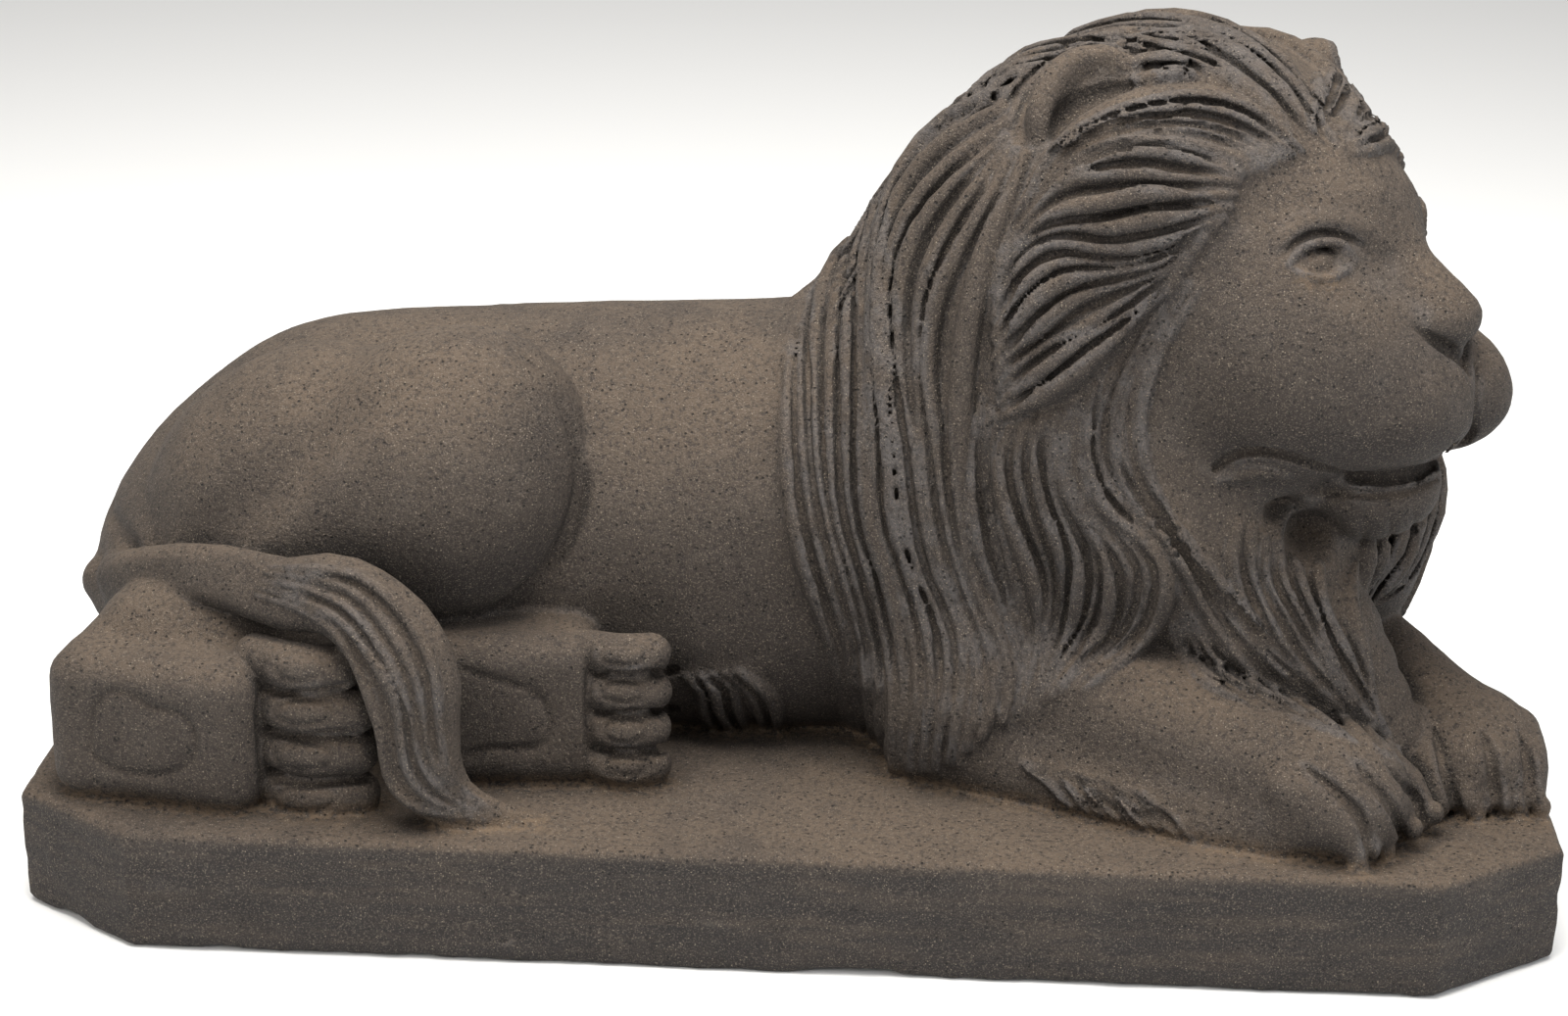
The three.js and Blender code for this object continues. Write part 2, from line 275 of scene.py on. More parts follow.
def march(start, rays, steps, limit, rounds=90):
    """The points where rays first meet the surface, or where they pass closest to it."""
    far = np.zeros(len(start))
    best, kept = np.full(len(start), 1e9), far.copy()
    live = np.arange(len(start))
    for _ in range(rounds):
        d = distance(start[live] + rays[live] * far[live, None], steps)
        closer = live[np.abs(d) < best[live]]
        best[closer], kept[closer] = np.abs(d)[np.abs(d) < best[live]], far[closer]
        far[live] += np.clip(d, -20, 60) * 0.8
        live = live[(np.abs(d) > 0.4) & (far[live] < limit)]
        if not len(live):
            break
    return settled(start + rays * kept[:, None], steps)


def seen(pixels, steps):
    """Where the camera sees these places of the photo on the surface."""
    pixels = np.array(pixels, float)
    rays = (AHEAD + RIGHT * ((pixels[:, 0] - PHOTO[0] / 2) / FOCAL)[:, None]
            - UP * ((pixels[:, 1] - PHOTO[1] / 2) / FOCAL)[:, None])
    rays /= np.linalg.norm(rays, axis=1)[:, None]
    return march(np.tile(EYE, (len(rays), 1)) + rays * 2200.0, rays, steps, 1400.0)


def split(points, lines):
    return np.split(points, np.cumsum([len(line) for line in lines])[:-1])


def followed(lines, steps):
    """Lines of the photo laid on the surface."""
    return split(seen(np.vstack(lines), steps), lines)


HEAD_AXES = turn_matrix((0, 0, HEAD_TURN))


def on_head(ahead, left, up):
    return HEAD_POINT + HEAD_AXES @ np.array([ahead, left, up], float)


def across(points):
    """The same points on the other side of the head."""
    own = (np.array(points) - HEAD_POINT) @ HEAD_AXES
    return HEAD_POINT + (own * (1, -1, 1)) @ HEAD_AXES.T


def head_mass(ahead, left, up, radii, turn=0, pitch=0):
    return Mass(on_head(ahead, left, up), radii, (0, pitch, HEAD_TURN + turn))


def resampled(line, count):
    line = spline(line, 60)
    along = np.concatenate([[0], np.cumsum(np.linalg.norm(np.diff(line, axis=0), axis=1))])
    at = np.linspace(0, along[-1], count)
    return np.stack([np.interp(at, along, line[:, k]) for k in range(line.shape[1])], -1)


def carved(marks, steps):
    """Grooves and ridges along lines of the photo, on the other side of the face too where asked."""
    on = followed([resampled(mark[1], mark[4]) for mark in marks], steps)
    points = np.vstack(on)
    away = split(slope(points, steps, 4.0), on)
    mirrored = settled(across(points), steps)
    away_there = split(slope(mirrored, steps, 4.0), on)
    cuts = []
    for mark, line, out, there, out_there in zip(marks, on, away, split(mirrored, on), away_there):
        kind, _, radii, soft, count, both, proud = mark
        cuts.append((kind, Limb(line + out * proud, radii, count + 4), soft))
        if both:
            cuts.append((kind, Limb(there + out_there * proud, radii, count + 4), soft))
    return cuts


# The flesh: trunk, legs, mane and head without their carving

MANE = [
    Mass((180, 70, 270), (180, 186, 258)),
    Mass((255, 66, 462), (216, 190, 292)),
    Mass((355, 50, 350), (185, 190, 194)),
    Mass((110, 80, 400), (118, 174, 180)),
    Mass((455, 90, 322), (148, 126, 184)),
    head_mass(-80, 0, 62, (159, 190, 137), 0, 10),
]


# Lines on the haunch: the valley along the thigh, its front edge, and the crease under the rump
HAUNCH = [
    ("cut", [(412, 396), (366, 424), (320, 460), (277, 499), (240, 530), (204, 562)],
     [31, 35, 39, 41, 42, 42], 20, 14, False, 35.0),
    ("cut", [(470, 338), (520, 355), (556, 384), (582, 430), (593, 490), (580, 545), (548, 590),
             (505, 622)],
     [1, 4, 6, 8, 9, 9, 9, 6], 6, 20, False, 2.0),
    ("cut", [(106, 498), (116, 532), (138, 566)], [4, 8, 8], 10, 8, False, 3.0),
]


def body():
    steps = [
        ("add", Limb([(-430, 88, 293), (-250, 90, 308), (-50, 90, 316), (120, 88, 330)],
                     [178, 186, 187, 188], 8), 0),
        ("add", Mass((-70, 80, 215), (330, 160, 125)), 60),
        ("add", Mass((-385, 84, 185), (285, 189, 288)), 40),
        ("add", Mass((-480, 60, 225), (205, 187, 190)), 40),
        ("add", Group([Mass((-474, 6, 342), (160, 122, 124), (0, -36, 0)),
                       Group([Mass((-312, -42, 372), (120, 102, 144), (0, 20, 0)),
                              Limb([(-350, -42, 366), (-430, -52, 326), (-520, -64, 272)], [112, 100, 72],
                                   8)], 70)],
                      24), 4),
    ]
    return steps + carved(HAUNCH, steps)


FOOT_ROWS = [129 + 41 * i for i in range(TOES)]
SECOND_ROWS = [134 + 37 * i for i in range(TOES)]


def hind_feet():
    steps = [
        ("add", Mass((-572, -120, 222), (76, 68, 72)), 14),
        ("add", Mass((-512, -112, 240), (92, 76, 56)), 14),
        ("add", Sole((-564, -182, 183), (100, 58, 73), 30, (0, 0, -10)), 12),
        ("add", Sole((-262, -117, 186), (86, 56, 74), 28, (0, 0, 6)), 10),
    ]
    for i, (z, second) in enumerate(zip(FOOT_ROWS, SECOND_ROWS)):
        back = 14 if i == TOES - 1 else 0
        steps.append(("add", Limb([(-478, -196, z), (-432, -222, z), (-386 - back, -218, z)],
                                  [20, 22.5, 21], 8), 2))
        steps.append(("add", Limb([(-188, -138, second), (-152, -152, second), (-126, -146, second)],
                                  [17, 20, 19], 8), 2))
    return steps


# The tail's middle line with half its width: a round root, then a flat tuft that ends on the plinth
TAIL = [(-560, 130, 240, 58), (-632, 40, 226, 50), (-640, -35, 240, 38), (-608, -88, 274, 30),
        (-556, -126, 299, 27), (-508, -156, 309, 27), (-453, -186, 309, 30), (-404, -202, 316, 34),
        (-363, -219, 300, 37), (-340, -231, 275, 39), (-329, -238, 244, 39), (-325, -242, 205, 34),
        (-317, -244, 162, 31), (-288, -243, 130, 21), (-226, -238, 112, 9)]


def tail():
    line = spline([p[:3] for p in TAIL], 36)
    half = spline([(p[3],) for p in TAIL], 36)[:, 0]
    way = np.gradient(line, axis=0)
    side = np.cross(way, AHEAD)
    side /= np.linalg.norm(side, axis=1)[:, None]
    steps = []
    for share in (-0.48, 0.0, 0.48):
        steps.append(("add", Limb(line + side * (share * half)[:, None], half * 0.6, 36), 6))
    return steps


def forelegs():
    steps = [
        ("add", Limb([(440, -60, 268), (500, -86, 208), (552, -108, 160), (584, -128, 124)],
                     [92, 64, 38, 14], 8), 20),
        ("add", Limb([(230, -60, 190), (350, -130, 182), (440, -178, 168), (500, -208, 156)],
                     [85, 68, 58, 57], 8), 8),
        ("add", Mass((480, -204, 158), (78, 62, 52), (0, 0, -28)), 16),
        ("add", Mass((165, -68, 186), (92, 84, 92)), 30),
        ("add", Limb([(130, -90, 140), (222, -122, 134), (300, -156, 129), (380, -197, 124),
                      (440, -226, 122)],
                     [42, 45, 43, 38, 28], 10), 24),
        ("add", Limb([(470, 95, 222), (540, 48, 196), (598, -36, 168)], [60, 45, 48], 8), 8),
        ("add", Mass((626, -78, 156), (66, 80, 49), (0, 0, 10)), 14),
    ]
    for i in range(TOES):
        t = i / (TOES - 1)
        tip = np.array([512 + 58 * t, -260 + 70 * t, 134])
        steps.append(("add", Limb([tip + (-66, 30, 42), tip + (-22, 10, 26), tip], [24, 24, 17], 6), 5))
        tip = np.array([590 + 86 * t, -158 + 14 * t, 131])
        steps.append(("add", Limb([tip + (-4, 66, 36), tip + (-2, 24, 26), tip], [22, 22, 16], 6), 5))
    return steps


def head():
    steps = [("add", form, soft) for form, soft in zip(MANE, (24, 44, 40, 30, 40, 40))]
    steps += [
        ("add", head_mass(-10, 0, 5, (150, 160, 160)), 30),
        ("add", head_mass(75, 0, 36, (86, 104, 78)), 30),
        ("add", Limb([on_head(118, 0, 24), on_head(152, 0, 8), on_head(192, 0, -14)], [46, 38, 34], 6), 22),
    ]
    steps += [
        ("add", head_mass(75, -96, -62, (112, 76, 112)), 40),
        ("add", head_mass(56, 94, -70, (96, 70, 106)), 40),
        ("add", head_mass(150, -48, -92, (86, 64, 64)), 40),
        ("add", head_mass(163, 48, -100, (86, 62, 64)), 36),
        ("add", head_mass(194, -17, -95, (48, 46, 54)), 22),
        ("add", head_mass(126, -46, -38, (74, 58, 56)), 40),
        ("add", head_mass(122, 38, -38, (62, 44, 50)), 40),
        ("add", Limb([on_head(88, -20, -205), on_head(70, -10, -275), on_head(62, 10, -350)], [60, 66, 45],
                     6), 30),
        ("add", head_mass(146, -4, -184, (64, 68, 54)), 8),
    ]
    return steps


FLESH = body() + hind_feet() + tail() + head() + forelegs()
HAIR_BED = head()


# Hair

chance = np.random.RandomState(SEED)


def between(guides, pitch, points):
    """Lines laid between guide lines, about one pitch apart."""
    guides = [resampled(g, points) for g in guides]
    t = np.linspace(0, 1, points)[:, None]
    lines = []
    for first, second in zip(guides, guides[1:]):
        count = max(1, round(float(np.median(np.linalg.norm(second - first, axis=1))) / pitch))
        for i in range(count):
            sway = 0.25 / count * np.sin(7.0 * t + chance.uniform(0, 6.28))
            share = (i + 0.5) / count + sway * np.sin(math.pi * t)
            lines.append(first * (1 - share) + second * share)
    return lines


LOCKS = []
GROOVES = []


def strands(lines, proud=0.0, fill=0.55, most=11.0, root=0.7, tip=0.45, uneven=2.0, sunk=0.0):
    """Locks along lines on the flesh, as thick as the room to their neighbours, and grooves between."""
    normals = slope(np.vstack(lines), FLESH, 4.0).reshape(len(lines), -1, 3)
    t = np.linspace(0, 1, len(lines[0]))
    rise = (proud * np.interp(t, [0, 0.15, 0.9, 1], [0.1, 1, 1, 0.6])
            - sunk * np.interp(t, [0, 0.14], [1, 0]))
    for i, line in enumerate(lines):
        sides = [np.linalg.norm(lines[j] - line, axis=1) for j in (i - 1, i + 1) if 0 <= j < len(lines)]
        room = np.min(sides, 0) * 0.5 + np.mean(sides, 0) * 0.5 if sides else np.full(len(line), 14.0)
        shape = np.interp(t, [0, 0.12, 0.75, 1], [root, 1, 1, tip])
        thick = np.clip(fill * room, 3.0, most) * shape * chance.uniform(0.9, 1.1)
        bob = chance.uniform(-uneven, uneven) * np.interp(t, [0, 0.2, 0.85, 1], [0, 1, 1, 0.2])
        LOCKS.append(Limb(line + normals[i] * (rise + bob)[:, None], thick, len(line) + 4))
        if i:
            gap = np.linalg.norm(lines[i - 1] - line, axis=1)
            out = normals[i - 1] + normals[i]
            out /= np.linalg.norm(out, axis=1)[:, None]
            deep = np.interp(gap, [8.0, 11.0, 18.0], [-3.0, 3.2, 4.6])
            lift = np.interp(t, [0, 0.12, 0.85, 1], [8, 0, 0, 8]) + chance.uniform(2.6, 4.4)
            at = (lines[i - 1] + line) / 2 + out * (rise + lift)[:, None]
            GROOVES.append(Limb(at, deep, len(line) + 4))


def aim(turn, up, side):
    away = abs(turn)
    swing = turn if side < 0 else 20 + (away - 20) * FAR_SPREAD if 20 < away < 180 else away
    a, e = math.radians(swing + HEAD_TURN), math.radians(up)
    return np.array([math.cos(a) * math.cos(e), math.sin(a) * math.cos(e), math.sin(e)])


def laid(guides, pitch, side, points):
    """Lines laid by the way they point from the middle of the mane."""
    lines = between([[aim(a, e, side) for a, e in g] for g in guides], pitch, points)
    rays = np.vstack(lines)
    rays /= np.linalg.norm(rays, axis=1)[:, None]
    return list(march(MANE_POINT + rays * 480.0, -rays, HAIR_BED, 480.0).reshape(len(lines), points, 3))


def layer(lines, sink=5.0, thick=15.0):
    """A thick layer for the locks of a tier to lie on."""
    points = np.vstack(lines)
    deep = points - slope(points, FLESH, 4.0) * sink
    taper = [thick * 0.6, thick, thick, thick * 0.7]
    return [Limb(line, taper, len(line)) for line in split(deep, lines)]


# Guide lines on the near side, in pixels of the photo
TEMPLE = [
    [(1334, 152), (1276, 109), (1218, 97), (1160, 104), (1121, 120), (1086, 142), (1062, 178)],
    [(1265, 179), (1198, 167), (1160, 162), (1109, 173), (1070, 193), (1043, 224), (1023, 259),
     (1014, 294)],
    [(1253, 218), (1198, 237), (1140, 243), (1093, 237), (1058, 249), (1031, 280), (1016, 315)],
    [(1226, 249), (1179, 272), (1132, 288), (1093, 300), (1058, 323), (1031, 350), (1018, 377)],
    [(1198, 290), (1160, 325), (1132, 362), (1105, 389), (1062, 412), (1023, 432)],
]
LONG = [
    [(1058, 156), (1043, 194), (1020, 241), (1008, 292), (1000, 338), (994, 400), (990, 470), (990, 530),
     (1000, 580), (1020, 630), (1037, 675), (1036, 725)],
    [(1039, 156), (1016, 210), (985, 268), (965, 311), (957, 370), (964, 430), (970, 510), (985, 587),
     (1001, 632), (1018, 669), (1022, 707), (1010, 745)],
    [(1023, 136), (985, 171), (946, 210), (922, 249), (911, 303), (913, 400), (922, 462), (931, 524),
     (943, 578), (964, 620), (977, 657), (977, 698), (966, 745), (962, 785)],
    [(1039, 84), (992, 96), (950, 122), (920, 160), (903, 205), (890, 260), (885, 340), (887, 440),
     (890, 520), (914, 587), (927, 649), (930, 698), (924, 750), (922, 788)],
]
REAR = [LONG[3], [(985, 78), (925, 112), (873, 172), (839, 222), (814, 278), (802, 335), (798, 430),
                  (803, 510), (818, 590), (839, 650), (857, 720), (872, 775)]]
MIDDLE = [
    [(998, 400), (990, 470), (990, 530), (1000, 580), (1020, 630), (1037, 675), (1036, 725)],
    [(1024, 437), (1016, 470), (1018, 504), (1030, 566), (1047, 616), (1055, 657), (1047, 698),
     (1039, 732)],
]
JOIN = [
    [(1109, 400), (1105, 462), (1122, 516), (1155, 545), (1188, 574), (1200, 610), (1205, 640)],
    [(1142, 372), (1124, 412), (1120, 444), (1128, 484), (1152, 518), (1180, 548), (1204, 592),
     (1222, 640)],
]
LOWER = [
    [(1022, 437), (1016, 470), (1018, 504), (1030, 566), (1047, 616), (1055, 657), (1047, 698),
     (1039, 732)],
    [(1055, 429), (1047, 470), (1055, 524), (1076, 578), (1080, 616), (1072, 649), (1059, 690),
     (1047, 727)],
    [(1088, 417), (1076, 454), (1080, 504), (1105, 549), (1113, 587), (1105, 632), (1084, 669),
     (1055, 722)],
    [(1101, 408), (1093, 462), (1105, 512), (1142, 553), (1159, 582), (1155, 624), (1130, 661),
     (1088, 703)],
    [(1109, 400), (1105, 462), (1122, 516), (1155, 545), (1188, 574), (1196, 607), (1184, 645), (1155, 674),
     (1110, 705)],
]
CHEEK = [
    [(1198, 295), (1160, 345), (1136, 395), (1128, 440), (1136, 480), (1160, 515), (1188, 545), (1212, 590),
     (1230, 640), (1262, 690)],
    [(1214, 285), (1180, 340), (1158, 390), (1152, 440), (1160, 480), (1180, 520), (1204, 560), (1246, 612),
     (1287, 655), (1329, 690)],
    [(1226, 300), (1196, 350), (1178, 400), (1174, 450), (1184, 500), (1206, 545), (1240, 590), (1280, 630),
     (1325, 672), (1362, 705)],
]
BEARD = [
    [(1258, 530), (1250, 566), (1262, 607), (1290, 655), (1335, 705), (1390, 755), (1436, 792)],
    [(1296, 549), (1300, 587), (1318, 628), (1345, 675), (1380, 715), (1415, 760), (1440, 793)],
    [(1329, 560), (1333, 599), (1350, 640), (1372, 682), (1396, 720), (1422, 760), (1443, 794)],
    [(1362, 572), (1362, 605), (1372, 645), (1388, 685), (1404, 722), (1426, 764), (1445, 795)],
    [(1400, 580), (1395, 610), (1392, 645), (1396, 685), (1408, 722), (1428, 764), (1446, 796)],
]
CHEST = [
    [(1192, 640), (1196, 665), (1215, 690), (1245, 705), (1283, 718)],
    [(1212, 625), (1225, 655), (1250, 685), (1290, 712), (1340, 742)],
    [(1236, 622), (1256, 656), (1290, 690), (1335, 722), (1392, 762)],
]
TUFT = [
    [(276, 575), (330, 577), (371, 586), (410, 616), (437, 652), (452, 695), (454, 742), (462, 783),
     (494, 817), (552, 838)],
    [(258, 610), (300, 626), (340, 653), (367, 700), (386, 750), (394, 800), (420, 827), (470, 838),
     (534, 842)],
]
ELBOW = [
    [(1030, 772), (1062, 796), (1090, 824)],
    [(1160, 806), (1192, 828), (1224, 858)],
]
FLANK = [
    [(694, 690), (708, 708), (716, 730), (722, 752)],
    [(760, 684), (786, 704), (800, 734), (814, 758)],
]

CROWN_NEAR = [
    [(1325, 148), (1276, 99), (1218, 84), (1176, 86), (1158, 92)],
    [(1335, 144), (1288, 97), (1237, 62), (1179, 43), (1132, 51), (1093, 60)],
    [(1339, 132), (1311, 93), (1276, 58), (1237, 33), (1195, 19)],
    [(1345, 126), (1330, 90), (1305, 58), (1275, 38), (1245, 28)],
]
BEHIND_EAR = [
    [(1113, 58), (1075, 72), (1050, 98), (1040, 128)],
    [(1179, 30), (1121, 38), (1062, 52), (1012, 74), (975, 100)],
]
FRINGE = [
    [(1338, 146), (1334, 112), (1338, 78)],
    [(1346, 146), (1362, 112), (1376, 76)],
    [(1350, 150), (1384, 122), (1404, 90)],
    [(1356, 154), (1392, 138), (1418, 116)],
    [(1366, 162), (1404, 156), (1434, 156)],
]

# Guide lines by turn from the face and rise, for the crown and the far side
CROWN = [[(-15, 44), (-26, 57), (-49, 71), (-97, 72), (-118, 60)],
         [(0, 46), (0, 64), (0, 84), (180, 72), (180, 58)]]
CROWN_TOP = [[(-34, 74), (-64, 80), (-112, 76), (-128, 62)],
             [(0, 68), (0, 84), (180, 74), (180, 60)]]
NAPE = [[(-97, 74), (-120, 62), (-132, 44), (-132, 26), (-126, 6)],
        [(180, 70), (180, 58), (180, 46), (180, 34), (180, 24)]]
FAR_TEMPLE = [[(-21, 45), (-39, 53), (-61, 55), (-78, 48), (-84, 33), (-84, 18)],
              [(-36, 27), (-44, 22), (-54, 13), (-64, 4), (-72, -1), (-80, -4)]]
FAR_LONG = [[(-80, 44), (-87, 22), (-93, 0), (-90, -26), (-84, -46), (-88, -56)],
            [(-112, 60), (-128, 44), (-130, 20), (-124, -5), (-116, -28), (-110, -44)]]
FAR_LOWER = [[(-80, 4), (-84, -20), (-76, -40), (-74, -52)],
             [(-40, 16), (-44, -4), (-38, -24), (-32, -40)]]
FAR_BEARD = [[(-34, -16), (-28, -30), (-20, -40)], [(-8, -28), (-8, -36), (-8, -44)]]

near_bed = between([REAR[1]] + LONG[::-1], 24.0, 14) + between(LOWER, 24.0, 12)
MANE_BED = layer(followed(near_bed, FLESH), 8.0, 17.0)
MANE_BED += layer(laid(FAR_LONG + FAR_LOWER[1:], 0.1, 1, 12), 8.0, 18.0)
FLESH.append(("add", Hair(MANE_BED), 8))
HAIR_BED.append(FLESH[-1])
TEMPLE_BED = layer(followed(between(TEMPLE, 20.0, 12), FLESH)) + layer(laid(FAR_TEMPLE, 0.07, 1, 10))
FLESH.append(("add", Hair(TEMPLE_BED), 8))
HAIR_BED.append(FLESH[-1])

# Tiers of locks: guide lines, pitch, points in each line, and how they lie
SEEN_TIERS = [
    (CROWN_NEAR, 15.0, 12, {"root": 0.4, "sunk": 5.0}),
    (BEHIND_EAR, 14.0, 8, {"root": 0.4, "sunk": 4.0}),
    (LONG, 16.0, 18, {}),
    (REAR, 13.0, 16, {"proud": -2.0, "uneven": 1.2}),
    (MIDDLE, 14.0, 14, {}),
    (LOWER, 14.0, 15, {}),
    (JOIN, 14.0, 12, {}),
    (CHEEK, 14.0, 15, {"most": 8.0}),
    (TEMPLE, 16.0, 14, {"proud": 1.0, "tip": 0.7}),
    (BEARD, 14.0, 16, {"most": 9.0}),
    (CHEST, 14.0, 10, {"most": 7.0}),
    (TUFT, 13.0, 20, {"most": 7.0, "tip": 0.3, "uneven": 1.2}),
    (ELBOW, 15.0, 6, {"most": 6.0, "root": 0.3, "sunk": 4.0}),
    (FLANK, 17.0, 8, {"proud": -2.0, "most": 8.0}),
    (FRINGE, 11.0, 9, {"proud": 1.0, "most": 8.0, "root": 0.3, "sunk": 5.0}),
]
LAID_TIERS = [
    (CROWN_TOP, 0.05, -1, 10, {"most": 13.0, "root": 0.3, "sunk": 7.0}),
    (CROWN, 0.07, 1, 13, {"most": 13.0, "root": 0.3, "sunk": 7.0}),
    (NAPE, 0.05, -1, 10, {"proud": -4.0, "most": 13.0}),
    (NAPE, 0.07, 1, 10, {"proud": -2.0, "most": 13.0}),
    (FAR_LONG, 0.06, 1, 13, {"most": 15.0}),
    (FAR_LOWER, 0.06, 1, 10, {"most": 15.0}),
    (FAR_BEARD, 0.06, 1, 8, {"most": 15.0}),
    (FAR_TEMPLE, 0.06, 1, 12, {"most": 15.0}),
]


def hair():
    tiers = [between(guides, pitch, points) for guides, pitch, points, _ in SEEN_TIERS]
    lines = followed([line for tier in tiers for line in tier], FLESH)
    for tier, (_, _, _, how) in zip(tiers, SEEN_TIERS):
        strands(lines[:len(tier)], **how)
        lines = lines[len(tier):]
    for guides, pitch, side, points, how in LAID_TIERS:
        strands(laid(guides, pitch, side, points), **how)


# Carving of the face and the feet

def oval(middle, radii):
    a = np.linspace(0, 2 * math.pi, 24)
    return np.stack([middle[0] + radii[0] * np.cos(a), middle[1] + radii[1] * np.sin(a)], -1)


BROW = [
    ("add", [(1308, 246), (1330, 230), (1360, 226), (1390, 236), (1412, 250)], [5, 8, 8, 7, 4], 12, 10,
     False, -3.0),
]
LIDS = [
    ("add", [(1314, 271), (1328, 255), (1350, 247), (1370, 251), (1384, 265)], [2, 4.5, 5, 4.5, 2], 1, 10,
     True, 1.0),
    ("add", [(1316, 273), (1331, 281), (1350, 284), (1368, 279), (1383, 267)], [2, 4, 4.5, 4, 2], 1, 10,
     True, 0.0),
    ("cut", [(1306, 262), (1326, 245), (1350, 238), (1374, 242), (1394, 254)], [1, 3, 4, 3, 1], 3, 12,
     True, 0.0),
]
MUZZLE = [
    ("cut", [(1440, 332), (1462, 345), (1484, 360), (1500, 376)], [1, 5, 8, 6], 3, 8, True, -1.0),
    ("cut", [(1508, 372), (1508, 400), (1506, 428), (1502, 444)], [3, 4, 5, 6], 4, 8, False, -1.0),
    ("cut", [(1239, 480), (1258, 466), (1284, 462), (1315, 467), (1352, 480), (1396, 488), (1432, 485),
             (1466, 473), (1490, 457), (1502, 443)], [3, 6, 7, 7, 7, 7, 7, 6.5, 6, 6], 2, 20, True, -3.0),
    ("add", [(1246, 490), (1264, 486), (1290, 481), (1320, 486)], [3, 7, 7, 3], 5, 8, False, 0.0),
    ("cut", [(1318, 514), (1347, 502), (1397, 505), (1440, 500), (1468, 488)], [2, 4, 5, 4, 2], 3, 12,
     False, -1.0),
    ("cut", [(1388, 516), (1393, 535), (1390, 553)], [1, 3, 3], 2, 8, False, 0.5),
    ("cut", [(1414, 514), (1420, 532), (1418, 552)], [1, 3, 3], 2, 8, False, 0.5),
    ("cut", [(1440, 510), (1445, 528), (1441, 546)], [1, 3, 3], 2, 8, False, 0.5),
]


EYE_MIDDLE = (1349, 265)
IRIS = ((1352, 264), (10, 10))
LIP_HOLLOWS = [(1340, 545), (1312, 522)]
SOILED_LID = [(1336, 284), (1358, 286)]


def face():
    steps = [("add", head_mass(208, 0, -20, (26, 40, 24)), 8)]
    steps += carved(BROW, FLESH)
    eye = seen([EYE_MIDDLE], FLESH)
    eyes = np.vstack([eye, settled(across(eye), FLESH)])
    out = slope(eyes, FLESH, 4.0)
    for place, away, turn in zip(eyes, out, (-50, 50)):
        steps.append(("cut", Mass(place + away, (25, 13, 14), (0, 0, HEAD_TURN + turn)), 7))
        steps.append(("add", Mass(place - away * 21.0, (22, 22, 20), (0, 0, HEAD_TURN)), 2))
    steps += carved(LIDS, FLESH)
    iris = seen(oval(*IRIS), FLESH + steps)
    steps.append(("cut", Limb(iris, [1.6, 1.6], 24), 1))
    steps += carved(MUZZLE, FLESH)
    hollow = seen(LIP_HOLLOWS, FLESH)
    steps += [("cut", Mass(hollow[0], (34, 26, 20), (0, 0, HEAD_TURN - 50)), 14),
              ("cut", Mass(hollow[1], (28, 20, 12), (0, 0, HEAD_TURN - 50)), 12)]
    return steps


EAR_RIM = [(1060, 152), (1064, 120), (1080, 90), (1105, 72), (1134, 66), (1156, 72)]
EAR_HOLLOW = [(1076, 142), (1084, 120), (1104, 102), (1130, 90), (1150, 86)]


def ears():
    """The near ear lies back like a cup with a thick rim; the far one shows only as a bump."""
    rim = seen(EAR_RIM, FLESH)
    out = slope(rim, FLESH, 4.0)
    lift = np.array([-6, 6, 10, 10, 7, 0], float)[:, None]
    hollow = seen(EAR_HOLLOW, FLESH)
    return [
        ("add", Limb(rim + out * lift, [7, 13, 15, 14, 11, 6], 20), 5),
        ("add", Limb(rim + out * (lift - 14), [9, 17, 18, 17, 14, 8], 20), 6),
        ("cut", Limb(hollow - slope(hollow, FLESH, 4.0) * 2, [5, 11, 13, 12, 6], 16), 4),
        ("add", head_mass(-42, 176, 128, (40, 30, 36), 24, -25), 10),
        ("cut", head_mass(-16, 192, 138, (26, 18, 22), 24, -25), 5),
    ]


HEEL_PADS = [
    ("cut", [(91, 764), (96, 723), (112, 706), (132, 709), (152, 722), (183, 729), (198, 749), (198, 774),
             (178, 789), (147, 791), (112, 784), (93, 770)], [3, 3], 3, 30, False, 0.0),
    ("cut", [(470, 683), (499, 693), (540, 706), (560, 728), (558, 757), (540, 765), (495, 765),
             (478, 774)],
     [3, 3], 3, 22, False, 0.0),
]
TOE_PADS = [((304, 681), (26, 15)), ((310, 727), (31, 14)), ((310, 772), (31, 15)), ((310, 816), (33, 13)),
            ((636, 668), (24, 12)), ((636, 706), (24, 12)), ((638, 745), (24, 14)), ((638, 781), (24, 11))]
TOE_SLITS = [(268, 704, 352), (268, 748, 364), (268, 795, 376), (602, 686, 688), (602, 725, 688),
             (602, 763, 688)]
TOE_ROOTS = [
    ("cut", [(268, 668), (264, 720), (266, 770), (266, 812)], [1, 4, 4, 1], 5, 10, False, 0.0),
    ("cut", [(602, 660), (600, 700), (601, 740), (602, 772)], [1, 3, 3, 1], 5, 10, False, 0.0),
]
PAW_SLITS = [
    [(1331, 781), (1361, 806), (1386, 831), (1398, 860), (1401, 888)],
    [(1382, 776), (1403, 802), (1420, 823), (1431, 846), (1428, 870)],
    [(1416, 780), (1434, 800), (1448, 820), (1452, 842)],
    [(1461, 741), (1470, 764), (1476, 785), (1482, 810), (1489, 838)],
    [(1512, 745), (1520, 768), (1524, 793), (1528, 838)],
    [(1551, 745), (1558, 768), (1561, 793), (1564, 838)],
]
CLAWS = [(1384, 888), (1416, 872), (1444, 846), (1466, 830), (1508, 833), (1547, 832), (1577, 826)]


